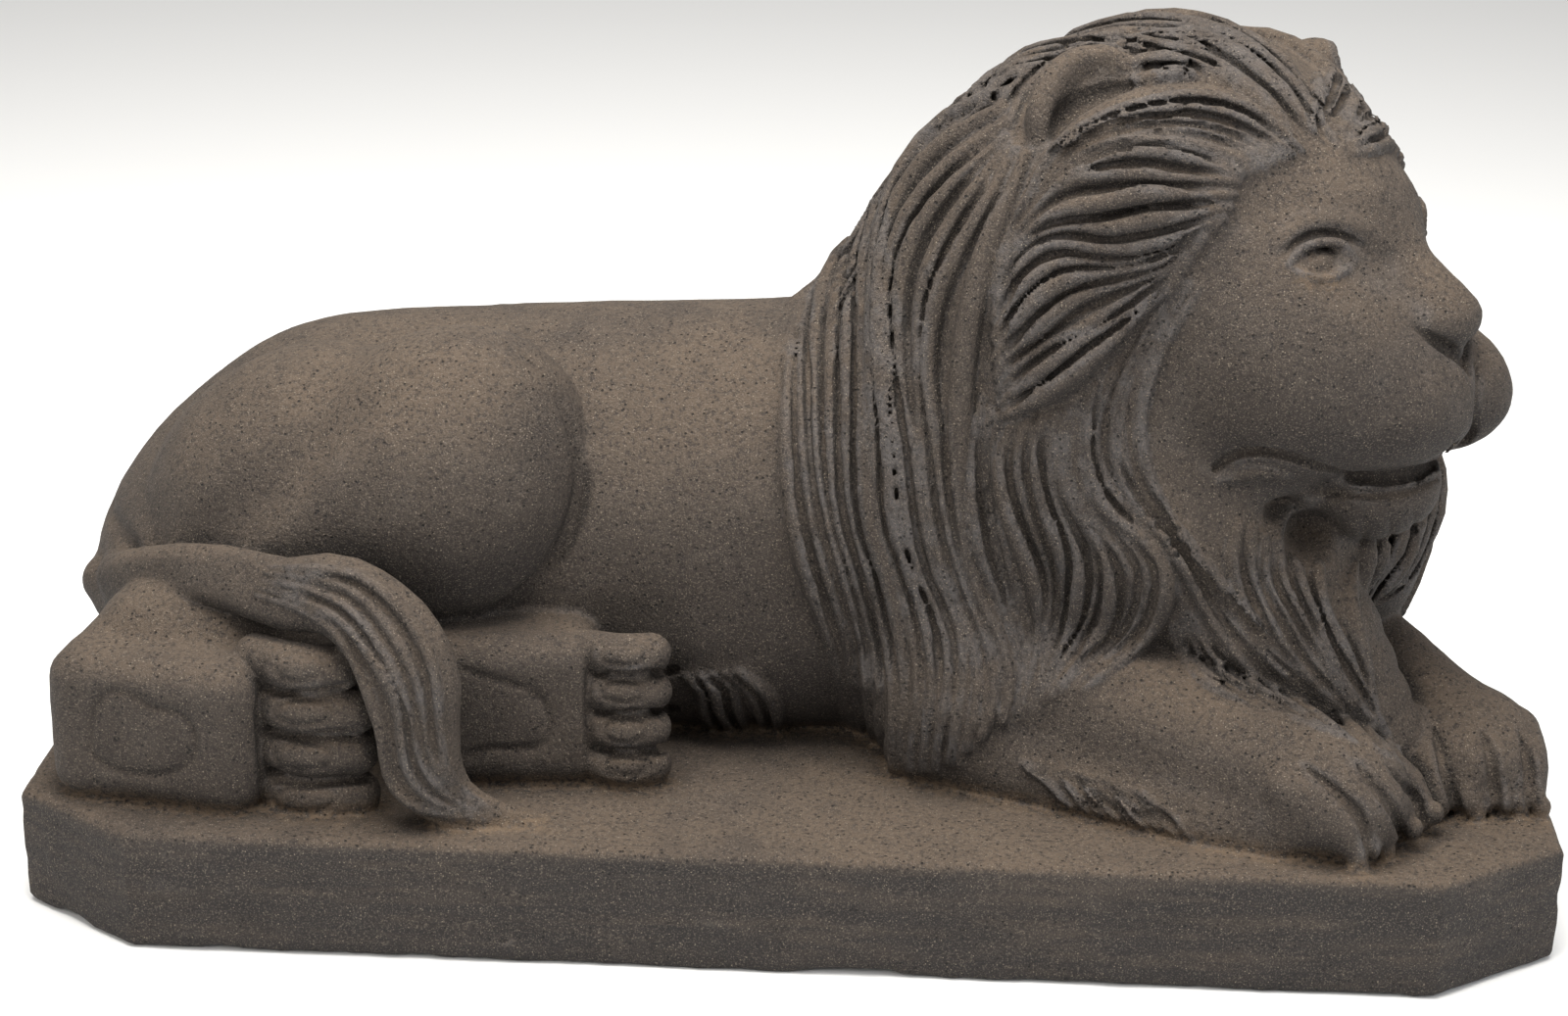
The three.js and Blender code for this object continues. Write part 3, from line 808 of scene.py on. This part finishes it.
def feet():
    """Pads under the hind feet, slits between the toes and a claw at each tip of the forepaws."""
    marks = list(HEEL_PADS)
    for middle, radii in TOE_PADS:
        marks.append(("cut", oval(middle, radii), [2.6, 2.6], 2, 30, False, 0.0))
    for first, row, last in TOE_SLITS:
        line = [(first, row), (first * 0.6 + last * 0.4, row + 3), (first * 0.3 + last * 0.7, row + 2),
                (last, row - 2)]
        marks.append(("cut", line, [2, 4, 5, 5], 3, 10, False, -1.0))
    marks += TOE_ROOTS
    marks += [("cut", slit, [1.5, 5, 6, 6, 5], 3, 12, False, -2.0) for slit in PAW_SLITS]
    steps = carved(marks, FLESH)
    claws = seen(CLAWS, FLESH)
    claws = claws - slope(claws, FLESH, 4.0) * 2
    return steps + [("add", Mass(claw, (9, 9, 11)), 2) for claw in claws]


hair()
LION = FLESH + [("add", Hair(LOCKS), 1.5), ("cut", Hair(GROOVES), 1.5)]
LION += ears() + face() + feet() + [("add", Plinth(), 6)]


# Uneven stone: chips along the plinth's lower edge and hand-worked faces

def value_noise(p, size, seed):
    """Smooth noise from -1 to 1."""
    table = np.random.RandomState(seed).uniform(-1, 1, 4096)
    q = p / size
    cell = np.floor(q).astype(np.int64)
    f = q - cell
    f = f * f * (3 - 2 * f)
    total = np.zeros(len(p))
    for dx in (0, 1):
        for dy in (0, 1):
            for dz in (0, 1):
                key = ((cell[:, 0] + dx) * 73856093 ^ (cell[:, 1] + dy) * 19349663
                       ^ (cell[:, 2] + dz) * 83492791)
                part = [f[:, k] if on else 1 - f[:, k] for k, on in enumerate((dx, dy, dz))]
                total += table[key & 4095] * part[0] * part[1] * part[2]
    return total


def lion(p):
    d = sculpt(p, LION)
    at = np.nonzero(np.abs(d) < 14)[0]
    q = p[at]
    low = np.clip((108 - q[:, 2]) / 12, 0, 1)
    rough = 0.7 * value_noise(q, 34, 1) + 0.35 * value_noise(q, 12, 2)
    slab = low * (1.3 * value_noise(q, (60, 60, 16), 3) + 0.8 * value_noise(q, 14, 4))
    foot = np.clip((22 - q[:, 2]) / 20, 0, 1)
    chips = np.clip(value_noise(q, (46, 46, 30), 5) - 0.25, 0, None) * 9 * foot
    d[at] += rough + slab + chips
    return np.maximum(d, -p[:, 2])


# The surface

def surface(low, high, cell):
    """A closed mesh of quads: the band around the surface is found at 8 cells, then at 2, then filled."""
    low = np.array(low, float)
    size = [int(math.ceil((h - l) / cell / 8)) * 8 for l, h in zip(low, high)]

    def run(p):
        return np.concatenate([lion(part) for part in np.array_split(p, max(1, len(p) // 250000))])

    def centres(cells, step):
        return low + (cells + 0.5) * step * cell

    cells = np.stack(np.meshgrid(*[np.arange(n // 8) for n in size], indexing="ij"), -1).reshape(-1, 3)
    for step, parts in ((8, 4), (2, 2)):
        d = run(centres(cells, step))
        cells = cells[np.abs(d) < step * cell * 0.87 * 1.15 + 3.0]
        sub = np.stack(np.meshgrid(*[np.arange(parts)] * 3, indexing="ij"), -1).reshape(-1, 3)
        cells = (cells[:, None, :] * parts + sub).reshape(-1, 3)
        cells = cells[np.lexsort((cells[:, 2], cells[:, 1], cells[:, 0]))]
    known = np.zeros([n + 1 for n in size], bool)
    for dx in (0, 1):
        for dy in (0, 1):
            for dz in (0, 1):
                known[cells[:, 0] + dx, cells[:, 1] + dy, cells[:, 2] + dz] = True
    at = np.nonzero(known)
    value = np.full(known.shape, 9.0, np.float32)
    value[at] = run(low + np.stack(at, -1) * cell)
    return nets(value, known, cells, low, cell)


def nets(value, known, cells, low, cell):
    """One corner in each cell that the surface passes through, joined across each edge that it crosses."""
    corners = [(dx, dy, dz) for dx in (0, 1) for dy in (0, 1) for dz in (0, 1)]
    d = {c: value[cells[:, 0] + c[0], cells[:, 1] + c[1], cells[:, 2] + c[2]] for c in corners}
    inside = sum((d[c] < 0).astype(int) for c in corners)
    mixed = (inside > 0) & (inside < 8)
    cells = cells[mixed]
    d = {c: d[c][mixed] for c in corners}
    total, count = np.zeros((len(cells), 3)), np.zeros(len(cells))
    for c in corners:
        for k in range(3):
            if c[k] == 0:
                e = tuple(1 if j == k else c[j] for j in range(3))
                cross = (d[c] < 0) != (d[e] < 0)
                place = np.tile(np.array(c, float), (len(cells), 1))
                place[:, k] = np.where(cross, d[c] / np.where(cross, d[c] - d[e], 1), 0)
                total += place * cross[:, None]
                count += cross
    verts = low + (cells + total / count[:, None]) * cell
    number = np.full([n - 1 for n in value.shape], -1, np.int32)
    number[cells[:, 0], cells[:, 1], cells[:, 2]] = np.arange(len(cells))
    quads = []
    for k in range(3):
        start = [slice(1, -1)] * 3
        end = [slice(1, -1)] * 3
        start[k], end[k] = slice(0, -1), slice(1, None)
        a, b = value[tuple(start)] < 0, value[tuple(end)] < 0
        both = known[tuple(start)] & known[tuple(end)]
        u, w = ((1, 2), (2, 0), (0, 1))[k]
        for cross, turned in ((a & ~b & both, False), (~a & b & both, True)):
            i = np.nonzero(cross)
            base = [i[j] + (0 if j == k else 1) for j in range(3)]
            ring = []
            for du, dw in ((1, 1), (0, 1), (0, 0), (1, 0)):
                c = list(base)
                c[u], c[w] = c[u] - du, c[w] - dw
                ring.append(number[c[0], c[1], c[2]])
            ring = np.stack(ring, -1)
            ring = ring[(ring >= 0).all(1)]
            quads.append(ring[:, ::-1] if turned else ring)
    return verts, np.vstack(quads)


def make_mesh(name, verts, quads):
    mesh = bpy.data.meshes.new(name)
    mesh.vertices.add(len(verts))
    mesh.vertices.foreach_set("co", (verts / 1000.0).astype(np.float32).ravel())
    mesh.loops.add(quads.size)
    mesh.loops.foreach_set("vertex_index", quads.astype(np.int32).ravel())
    mesh.polygons.add(len(quads))
    mesh.polygons.foreach_set("loop_start", np.arange(0, quads.size, 4, dtype=np.int32))
    mesh.update(calc_edges=True)
    mesh.validate()
    return mesh


def thinned(piece, triangles):
    """The same mesh with fewer faces where it is plain."""
    piece.data.calc_loop_triangles()
    now = len(piece.data.loop_triangles)
    if now > triangles:
        thin = piece.modifiers.new("thin", "DECIMATE")
        thin.ratio = triangles / now
        thin.use_collapse_triangulate = True
        shown = piece.evaluated_get(bpy.context.evaluated_depsgraph_get())
        mesh = bpy.data.meshes.new_from_object(shown)
        piece.modifiers.clear()
        old = piece.data
        piece.data = mesh
        bpy.data.meshes.remove(old)
    piece.data.polygons.foreach_set("use_smooth", np.ones(len(piece.data.polygons), bool))


def write(mesh, name, values):
    mesh.attributes.new(name, "FLOAT", "POINT").data.foreach_set("value", values.astype(np.float32))


def mark_hollows(mesh):
    """Writes how deep in a hollow, how soiled and how far out on a ridge each point lies."""
    count = len(mesh.vertices)
    p = np.empty(count * 3, np.float32)
    mesh.vertices.foreach_get("co", p)
    n = np.empty(count * 3, np.float32)
    mesh.vertices.foreach_get("normal", n)
    p = p.reshape(-1, 3).astype(float) * 1000
    n = n.reshape(-1, 3).astype(float)
    for name, reach in (("fine", 5.0), ("wide", 20.0), ("broad", 55.0)):
        open_air = np.clip(distance(p + n * reach, LION) / reach, 0, 1)
        write(mesh, name, 1 - open_air)
    soil = np.zeros(count)
    low = np.nonzero(np.abs(p[:, 2] - PLINTH_HEIGHT) < 18)[0]
    beside = np.clip(1 - np.abs(distance(p[low], LION[:-1])) / 16, 0, 1)
    soil[low] = beside * (1 - np.abs(p[low, 2] - PLINTH_HEIGHT) / 18)
    lid = seen(SOILED_LID, FLESH)
    for place in lid:
        soil = np.maximum(soil, np.exp(-((p - place) ** 2).sum(1) / 80.0))
    write(mesh, "soil", soil)
    bent = distance(p - n * 6.0, LION) / 6.0 + 1
    write(mesh, "ridge", np.clip(bent, 0, 1))


# Stone

class Nodes:
    """A short way to write a node tree."""

    def __init__(self, name):
        self.material = bpy.data.materials.new(name)
        self.material.use_nodes = True
        self.tree = self.material.node_tree
        self.shader = self.tree.nodes["Principled BSDF"]

    def put(self, socket, value):
        if isinstance(value, bpy.types.NodeSocket):
            self.tree.links.new(value, socket)
        else:
            socket.default_value = value

    def math(self, kind, *values, clamp=False):
        node = self.tree.nodes.new("ShaderNodeMath")
        node.operation = kind
        node.use_clamp = clamp
        for socket, value in zip(node.inputs, values):
            self.put(socket, value)
        return node.outputs[0]

    def ramp(self, value, low, high):
        node = self.tree.nodes.new("ShaderNodeMapRange")
        node.interpolation_type = "SMOOTHSTEP"
        for socket, v in zip(node.inputs, (value, low, high, 0.0, 1.0)):
            self.put(socket, v)
        return node.outputs[0]

    def mix(self, share, a, b):
        node = self.tree.nodes.new("ShaderNodeMix")
        node.data_type = "RGBA"
        self.put(node.inputs[0], share)
        self.put(node.inputs[6], a)
        self.put(node.inputs[7], b)
        return node.outputs[2]

    def place(self, scale):
        where = self.tree.nodes.new("ShaderNodeTexCoord")
        node = self.tree.nodes.new("ShaderNodeMapping")
        self.tree.links.new(where.outputs["Object"], node.inputs[0])
        node.inputs["Scale"].default_value = scale
        return node.outputs[0]

    def noise(self, scale, detail=3.0, rough=0.6, stretch=(1, 1, 1)):
        node = self.tree.nodes.new("ShaderNodeTexNoise")
        self.put(node.inputs["Vector"], self.place(stretch))
        node.inputs["Scale"].default_value = scale
        node.inputs["Detail"].default_value = detail
        node.inputs["Roughness"].default_value = rough
        return node.outputs["Fac"]

    def dots(self, scale):
        node = self.tree.nodes.new("ShaderNodeTexVoronoi")
        self.put(node.inputs["Vector"], self.place((1, 1, 1)))
        node.inputs["Scale"].default_value = scale
        return node.outputs["Distance"], node.outputs["Color"]

    def attribute(self, name):
        node = self.tree.nodes.new("ShaderNodeAttribute")
        node.attribute_name = name
        return node.outputs["Fac"]

    def part(self, vector, axis):
        node = self.tree.nodes.new("ShaderNodeSeparateXYZ")
        self.tree.links.new(vector, node.inputs[0])
        return node.outputs[axis]

    def normal(self):
        return self.tree.nodes.new("ShaderNodeNewGeometry").outputs["Normal"]


DARK_STONE = (0.040, 0.031, 0.025, 1)
PALE_STONE = (0.058, 0.045, 0.035, 1)
MOTTLE = (0.068, 0.056, 0.047, 1)
DUST = (0.108, 0.077, 0.052, 1)
# Blue-grey of ridges rubbed by wear, partly a painted sheen
WORN_AND_SHEEN = (0.080, 0.077, 0.079, 1)
SLAB_STREAK = (0.022, 0.019, 0.018, 1)
# Painted shade colours: for faces turned down, for broad recesses and for grooves and creases
UNDERSIDE_SHADE = (0.012, 0.010, 0.010, 1)
RECESS_SHADE = (0.022, 0.017, 0.013, 1)
HOLLOW_SHADE = (0.014, 0.011, 0.009, 1)
DARK_GRIT = (0.014, 0.011, 0.010, 1)
PALE_GRIT = (0.165, 0.135, 0.108, 1)
SOIL = (0.165, 0.112, 0.068, 1)
SPECK = (0.30, 0.25, 0.19, 1)
PIT = (0.008, 0.007, 0.006, 1)


def stone():
    n = Nodes("weathered_stone")
    fine, wide, broad = n.attribute("fine"), n.attribute("wide"), n.attribute("broad")
    ridge = n.attribute("ridge")
    up = n.part(n.normal(), "Z")
    height = n.part(n.place((1, 1, 1)), "Z")
    cloud = n.noise(5.0, 4.0, 0.6)
    blotch = n.noise(30.0, 4.0, 0.65)
    grain = n.noise(620.0, 2.0, 0.7)
    coarse = n.noise(210.0, 4.0, 0.7)

    colour = n.mix(n.ramp(cloud, 0.35, 0.7), DARK_STONE, PALE_STONE)
    colour = n.mix(n.math("MULTIPLY", n.ramp(blotch, 0.45, 0.75), 0.5), colour, MOTTLE)
    settled = n.ramp(n.math("ADD", cloud, n.math("MULTIPLY", blotch, 0.5)), 0.4, 0.95)
    dust = n.math("MULTIPLY", n.ramp(up, 0.1, 0.95), settled)
    colour = n.mix(n.math("MULTIPLY", dust, 0.8), colour, DUST)
    # Wear and painted sheen: ridges are lightened to a blue-grey, partly by wear of the stone and partly as
    # a painted sheen; the same mask lowers the roughness
    worn_and_sheen = n.math("MULTIPLY", n.ramp(ridge, 0.10, 0.5), n.ramp(blotch, 0.3, 0.65))
    colour = n.mix(n.math("MULTIPLY", worn_and_sheen, 0.55), colour, WORN_AND_SHEEN)
    slab = n.math("MULTIPLY", n.ramp(height, 0.113, 0.100), n.ramp(up, 0.6, 0.2))
    streak = n.noise(9.0, 5.0, 0.7, (1.0, 1.0, 9.0))
    colour = n.mix(n.math("MULTIPLY", slab, n.ramp(streak, 0.70, 0.40)), colour, SLAB_STREAK)
    # Painted shade: faces turned downwards are darkened towards the underside colour
    colour = n.mix(n.math("MULTIPLY", n.ramp(up, 0.15, -0.50), 0.8), colour, UNDERSIDE_SHADE)
    # Painted shade: points deep in broad recesses are darkened
    colour = n.mix(n.math("MULTIPLY", n.ramp(broad, 0.45, 0.95), 0.35), colour, RECESS_SHADE)
    # Painted shade: grooves and creases are darkened, at a wide and at a fine reach
    colour = n.mix(n.math("MULTIPLY", n.ramp(wide, 0.35, 0.85), 0.7), colour, HOLLOW_SHADE)
    colour = n.mix(n.math("MULTIPLY", n.ramp(fine, 0.30, 0.95), 0.6), colour, HOLLOW_SHADE)
    colour = n.mix(n.math("MULTIPLY", n.ramp(coarse, 0.55, 0.34), 0.7), colour, DARK_GRIT)
    colour = n.mix(n.math("MULTIPLY", n.ramp(grain, 0.50, 0.70), 0.6), colour, PALE_GRIT)
    soiled = n.math("MULTIPLY", n.attribute("soil"), n.ramp(n.noise(160.0, 3.0, 0.7), 0.36, 0.60))
    colour = n.mix(n.math("MULTIPLY", soiled, 0.75), colour, SOIL)
    near, shade = n.dots(520.0)
    specks = n.math("MULTIPLY", n.ramp(near, 0.42, 0.22), n.ramp(n.part(shade, "X"), 0.93, 0.96))
    colour = n.mix(n.math("MULTIPLY", specks, 0.6), colour, SPECK)
    pit_near, pit_shade = n.dots(260.0)
    pits = n.math("MULTIPLY", n.ramp(pit_near, 0.40, 0.18), n.ramp(n.part(pit_shade, "Y"), 0.88, 0.93))
    colour = n.mix(n.math("MULTIPLY", pits, 0.8), colour, PIT)
    n.put(n.shader.inputs["Base Color"], colour)

    gloss = n.math("ADD", n.math("MULTIPLY", coarse, 0.16), 0.70)
    gloss = n.math("ADD", n.math("MULTIPLY", worn_and_sheen, -0.14), gloss)
    n.put(n.shader.inputs["Roughness"], gloss)
    n.shader.inputs["Specular IOR Level"].default_value = 0.35

    relief = n.math("ADD", n.math("MULTIPLY", grain, 0.45), coarse)
    relief = n.math("SUBTRACT", relief, n.math("MULTIPLY", pits, 1.2))
    bump = n.tree.nodes.new("ShaderNodeBump")
    bump.inputs["Strength"].default_value = 0.9
    bump.inputs["Distance"].default_value = 0.0034
    n.put(bump.inputs["Height"], relief)
    n.put(n.shader.inputs["Normal"], bump.outputs[0])
    return n.material


def plain(name, colour, rough):
    n = Nodes(name)
    n.shader.inputs["Base Color"].default_value = colour
    n.shader.inputs["Roughness"].default_value = rough
    return n.material


# The piece

verts, quads = surface(GRID_LOW, GRID_HIGH, CELL)
statue = bpy.data.objects.new("lion_on_plinth_carved", make_mesh("lion_on_plinth_carved", verts, quads))
bpy.context.scene.collection.objects.link(statue)
thinned(statue, TRIANGLES)
mark_hollows(statue.data)
statue.data.materials.append(stone())
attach(statue, "root")
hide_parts("lion_on_plinth")


# Studio

def floor():
    mesh = bpy.data.meshes.new("studio_floor")
    half = 9.0
    corners = [(-half, -half, 0), (half, -half, 0), (half, half, 0), (-half, half, 0)]
    mesh.from_pydata(corners, [], [(0, 1, 2, 3)])
    mesh.materials.append(plain("studio_floor", (0.86, 0.86, 0.85, 1), 0.9))
    piece = bpy.data.objects.new("studio_floor", mesh)
    bpy.context.scene.collection.objects.link(piece)


def light(name, place, aim_at, size, power, colour):
    lamp = bpy.data.lights.new(name, "AREA")
    lamp.size, lamp.energy, lamp.color = size, power, colour
    piece = bpy.data.objects.new(name, lamp)
    away = np.array(place, float) - aim_at
    away /= np.linalg.norm(away)
    side = np.cross((0.0, 0.0, 1.0), away)
    side /= np.linalg.norm(side)
    turn = np.stack([side, np.cross(away, side), away], 1)
    piece.matrix_world = Matrix.Translation(place) @ Matrix(turn.tolist()).to_4x4()
    bpy.context.scene.collection.objects.link(piece)


# Each light's name, place, size, power and colour
LIGHTS = [
    ("overhead", (-0.1, -0.4, 3.5), 2.6, 230.0, (1.0, 0.98, 0.95)),
    ("front_left", (-2.0, -3.2, 2.4), 1.8, 50.0, (1.0, 0.97, 0.93)),
    ("right", (3.2, -1.6, 1.8), 2.0, 40.0, (0.94, 0.96, 1.0)),
]


def studio():
    scene = bpy.context.scene
    world = bpy.data.worlds.new("studio")
    world.use_nodes = True
    world.node_tree.nodes["Background"].inputs[0].default_value = (1.0, 1.0, 1.0, 1)
    world.node_tree.nodes["Background"].inputs[1].default_value = 0.42
    scene.world = world
    middle = np.array((0.05, 0.0, 0.35))
    for name, place, size, power, colour in LIGHTS:
        light(name, place, middle, size, power, colour)
    scene.view_settings.view_transform = "Standard"


def camera():
    lens = bpy.data.cameras.new("photo_camera")
    lens.sensor_fit = "HORIZONTAL"
    lens.sensor_width = 36.0
    lens.lens = 36.0 * FOCAL / PHOTO[0]
    piece = bpy.data.objects.new("photo_camera", lens)
    turn = np.stack([RIGHT, UP, -AHEAD], 1)
    piece.matrix_world = Matrix.Translation((EYE / 1000).tolist()) @ Matrix(turn.tolist()).to_4x4()
    bpy.context.scene.collection.objects.link(piece)
    bpy.context.scene.camera = piece


floor()
studio()
camera()
